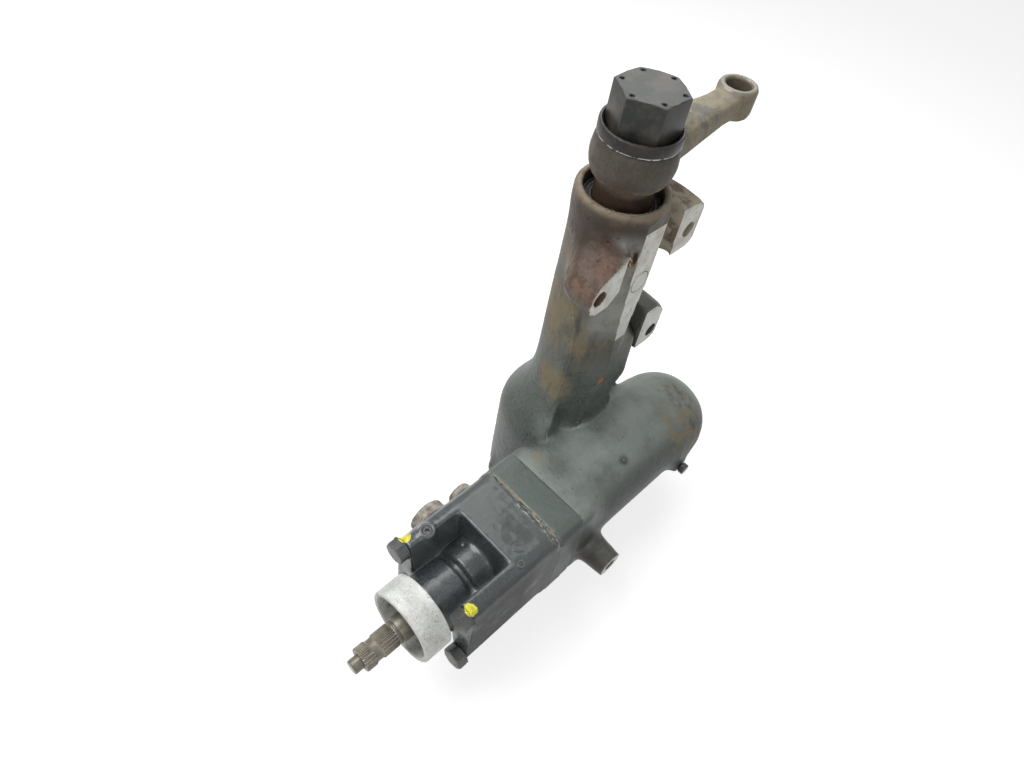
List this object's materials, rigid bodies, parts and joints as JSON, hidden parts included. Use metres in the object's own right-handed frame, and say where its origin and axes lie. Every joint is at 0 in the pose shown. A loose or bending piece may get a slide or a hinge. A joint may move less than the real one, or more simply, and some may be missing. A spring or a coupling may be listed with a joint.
{
  "type": "steering gearbox",
  "caption": "Hydraulic recirculating-ball steering gearbox: cast housing with a long sector tube, pitman arm, rotary valve and splined input shaft.",
  "frame": {"origin": "middle of the bounding box's underside, on the plane that the cover bolts' heads stand on", "axes": "+Z along the sector shaft towards the pitman nut; -Y along the worm towards the input shaft, and the pitman arm points to +Y at rest; +X is the outward normal of the machined mounting pads"},
  "size_m": [0.265, 0.5885, 0.5816],
  "materials": {
    "grey_green_paint": "dark grey-green paint over rough cast iron",
    "black_paint": "oily satin black paint",
    "forged_steel": "rough forged steel, dusty and lightly rusted",
    "black_oxide": "blackened steel",
    "bright_steel": "ground and machined steel",
    "aluminium": "bare cast aluminium, machined",
    "brass": "tarnished brass",
    "rubber": "black oil-resistant rubber"
  },
  "bodies": {
    "case": {"main_housing": "grey_green_paint", "bearing_block": "grey_green_paint", "valve_housing": "black_paint", "sector_cover": "grey_green_paint", "input_cup": "aluminium", "flange_bolt_1": "black_oxide", "flange_bolt_2": "black_oxide", "flange_bolt_3": "black_oxide", "flange_bolt_4": "black_oxide", "cover_bolt_1": "black_oxide", "cover_bolt_2": "black_oxide", "cover_bolt_3": "black_oxide", "cover_bolt_4": "black_oxide", "cover_bolt_5": "black_oxide", "cover_bolt_6": "black_oxide", "limiter_screw": "black_oxide", "grease_nipple": "brass", "relief_plug": "black_oxide", "screw_plug": "black_oxide", "ball_plug": "bright_steel", "adjuster_lock_nut": "bright_steel", "adjusting_screw": "bright_steel", "gear_side_bearing": "bright_steel", "arm_side_bearing": "bright_steel", "cover_bearing": "bright_steel", "sector_seal": "rubber", "dust_seal": "rubber", "block_seal_ring": "rubber", "cover_seal_ring": "rubber", "worm_bearing": "bright_steel", "bearing_nut": "bright_steel", "input_bearing": "bright_steel", "input_seal": "rubber"},
    "sector": {"sector_shaft": "bright_steel", "pitman_arm": "forged_steel", "pitman_nut": "black_oxide", "nut_lock_ring": "black_oxide", "adjuster_retainer": "bright_steel"},
    "piston": {"piston_rack": "bright_steel", "piston_ring": "rubber", "ball_train": "bright_steel", "ball_guide": "bright_steel", "guide_clamp": "bright_steel"},
    "worm": {"worm_shaft": "bright_steel", "valve_sleeve": "bright_steel", "torsion_bar": "bright_steel", "worm_pin": "bright_steel"},
    "input": {"input_shaft": "bright_steel", "input_pin": "bright_steel"}
  },
  "joints": [
    {"name": "sector_swing", "type": "hinge", "parent": "case", "child": "sector", "pos_m": [-0.0495, 0.1001, 0.1166], "axis": [0, 0, 1], "range_deg": [-45, 45]},
    {"name": "piston_slide", "type": "slide", "parent": "case", "child": "piston", "axis": [0, 1, 0], "range_m": [-0.0385, 0.0385]},
    {"name": "worm_spin", "type": "hinge", "parent": "case", "child": "worm", "pos_m": [0.0355, 0.1001, 0.1166], "axis": [0, 1, 0], "range_deg": [-865, 865]},
    {"name": "rotor_twist", "type": "hinge", "parent": "worm", "child": "input", "pos_m": [0.0355, 0.1001, 0.1166], "axis": [0, 1, 0], "range_deg": [-5, 5], "stiffness_Nm_per_rad": 100, "deforming": ["torsion_bar"]}
  ],
  "couplings": [
    {"joint": "piston_slide", "follows": "sector_swing", "m_per_rad": 0.04875},
    {"joint": "worm_spin", "follows": "sector_swing", "ratio": -19.144}
  ]
}
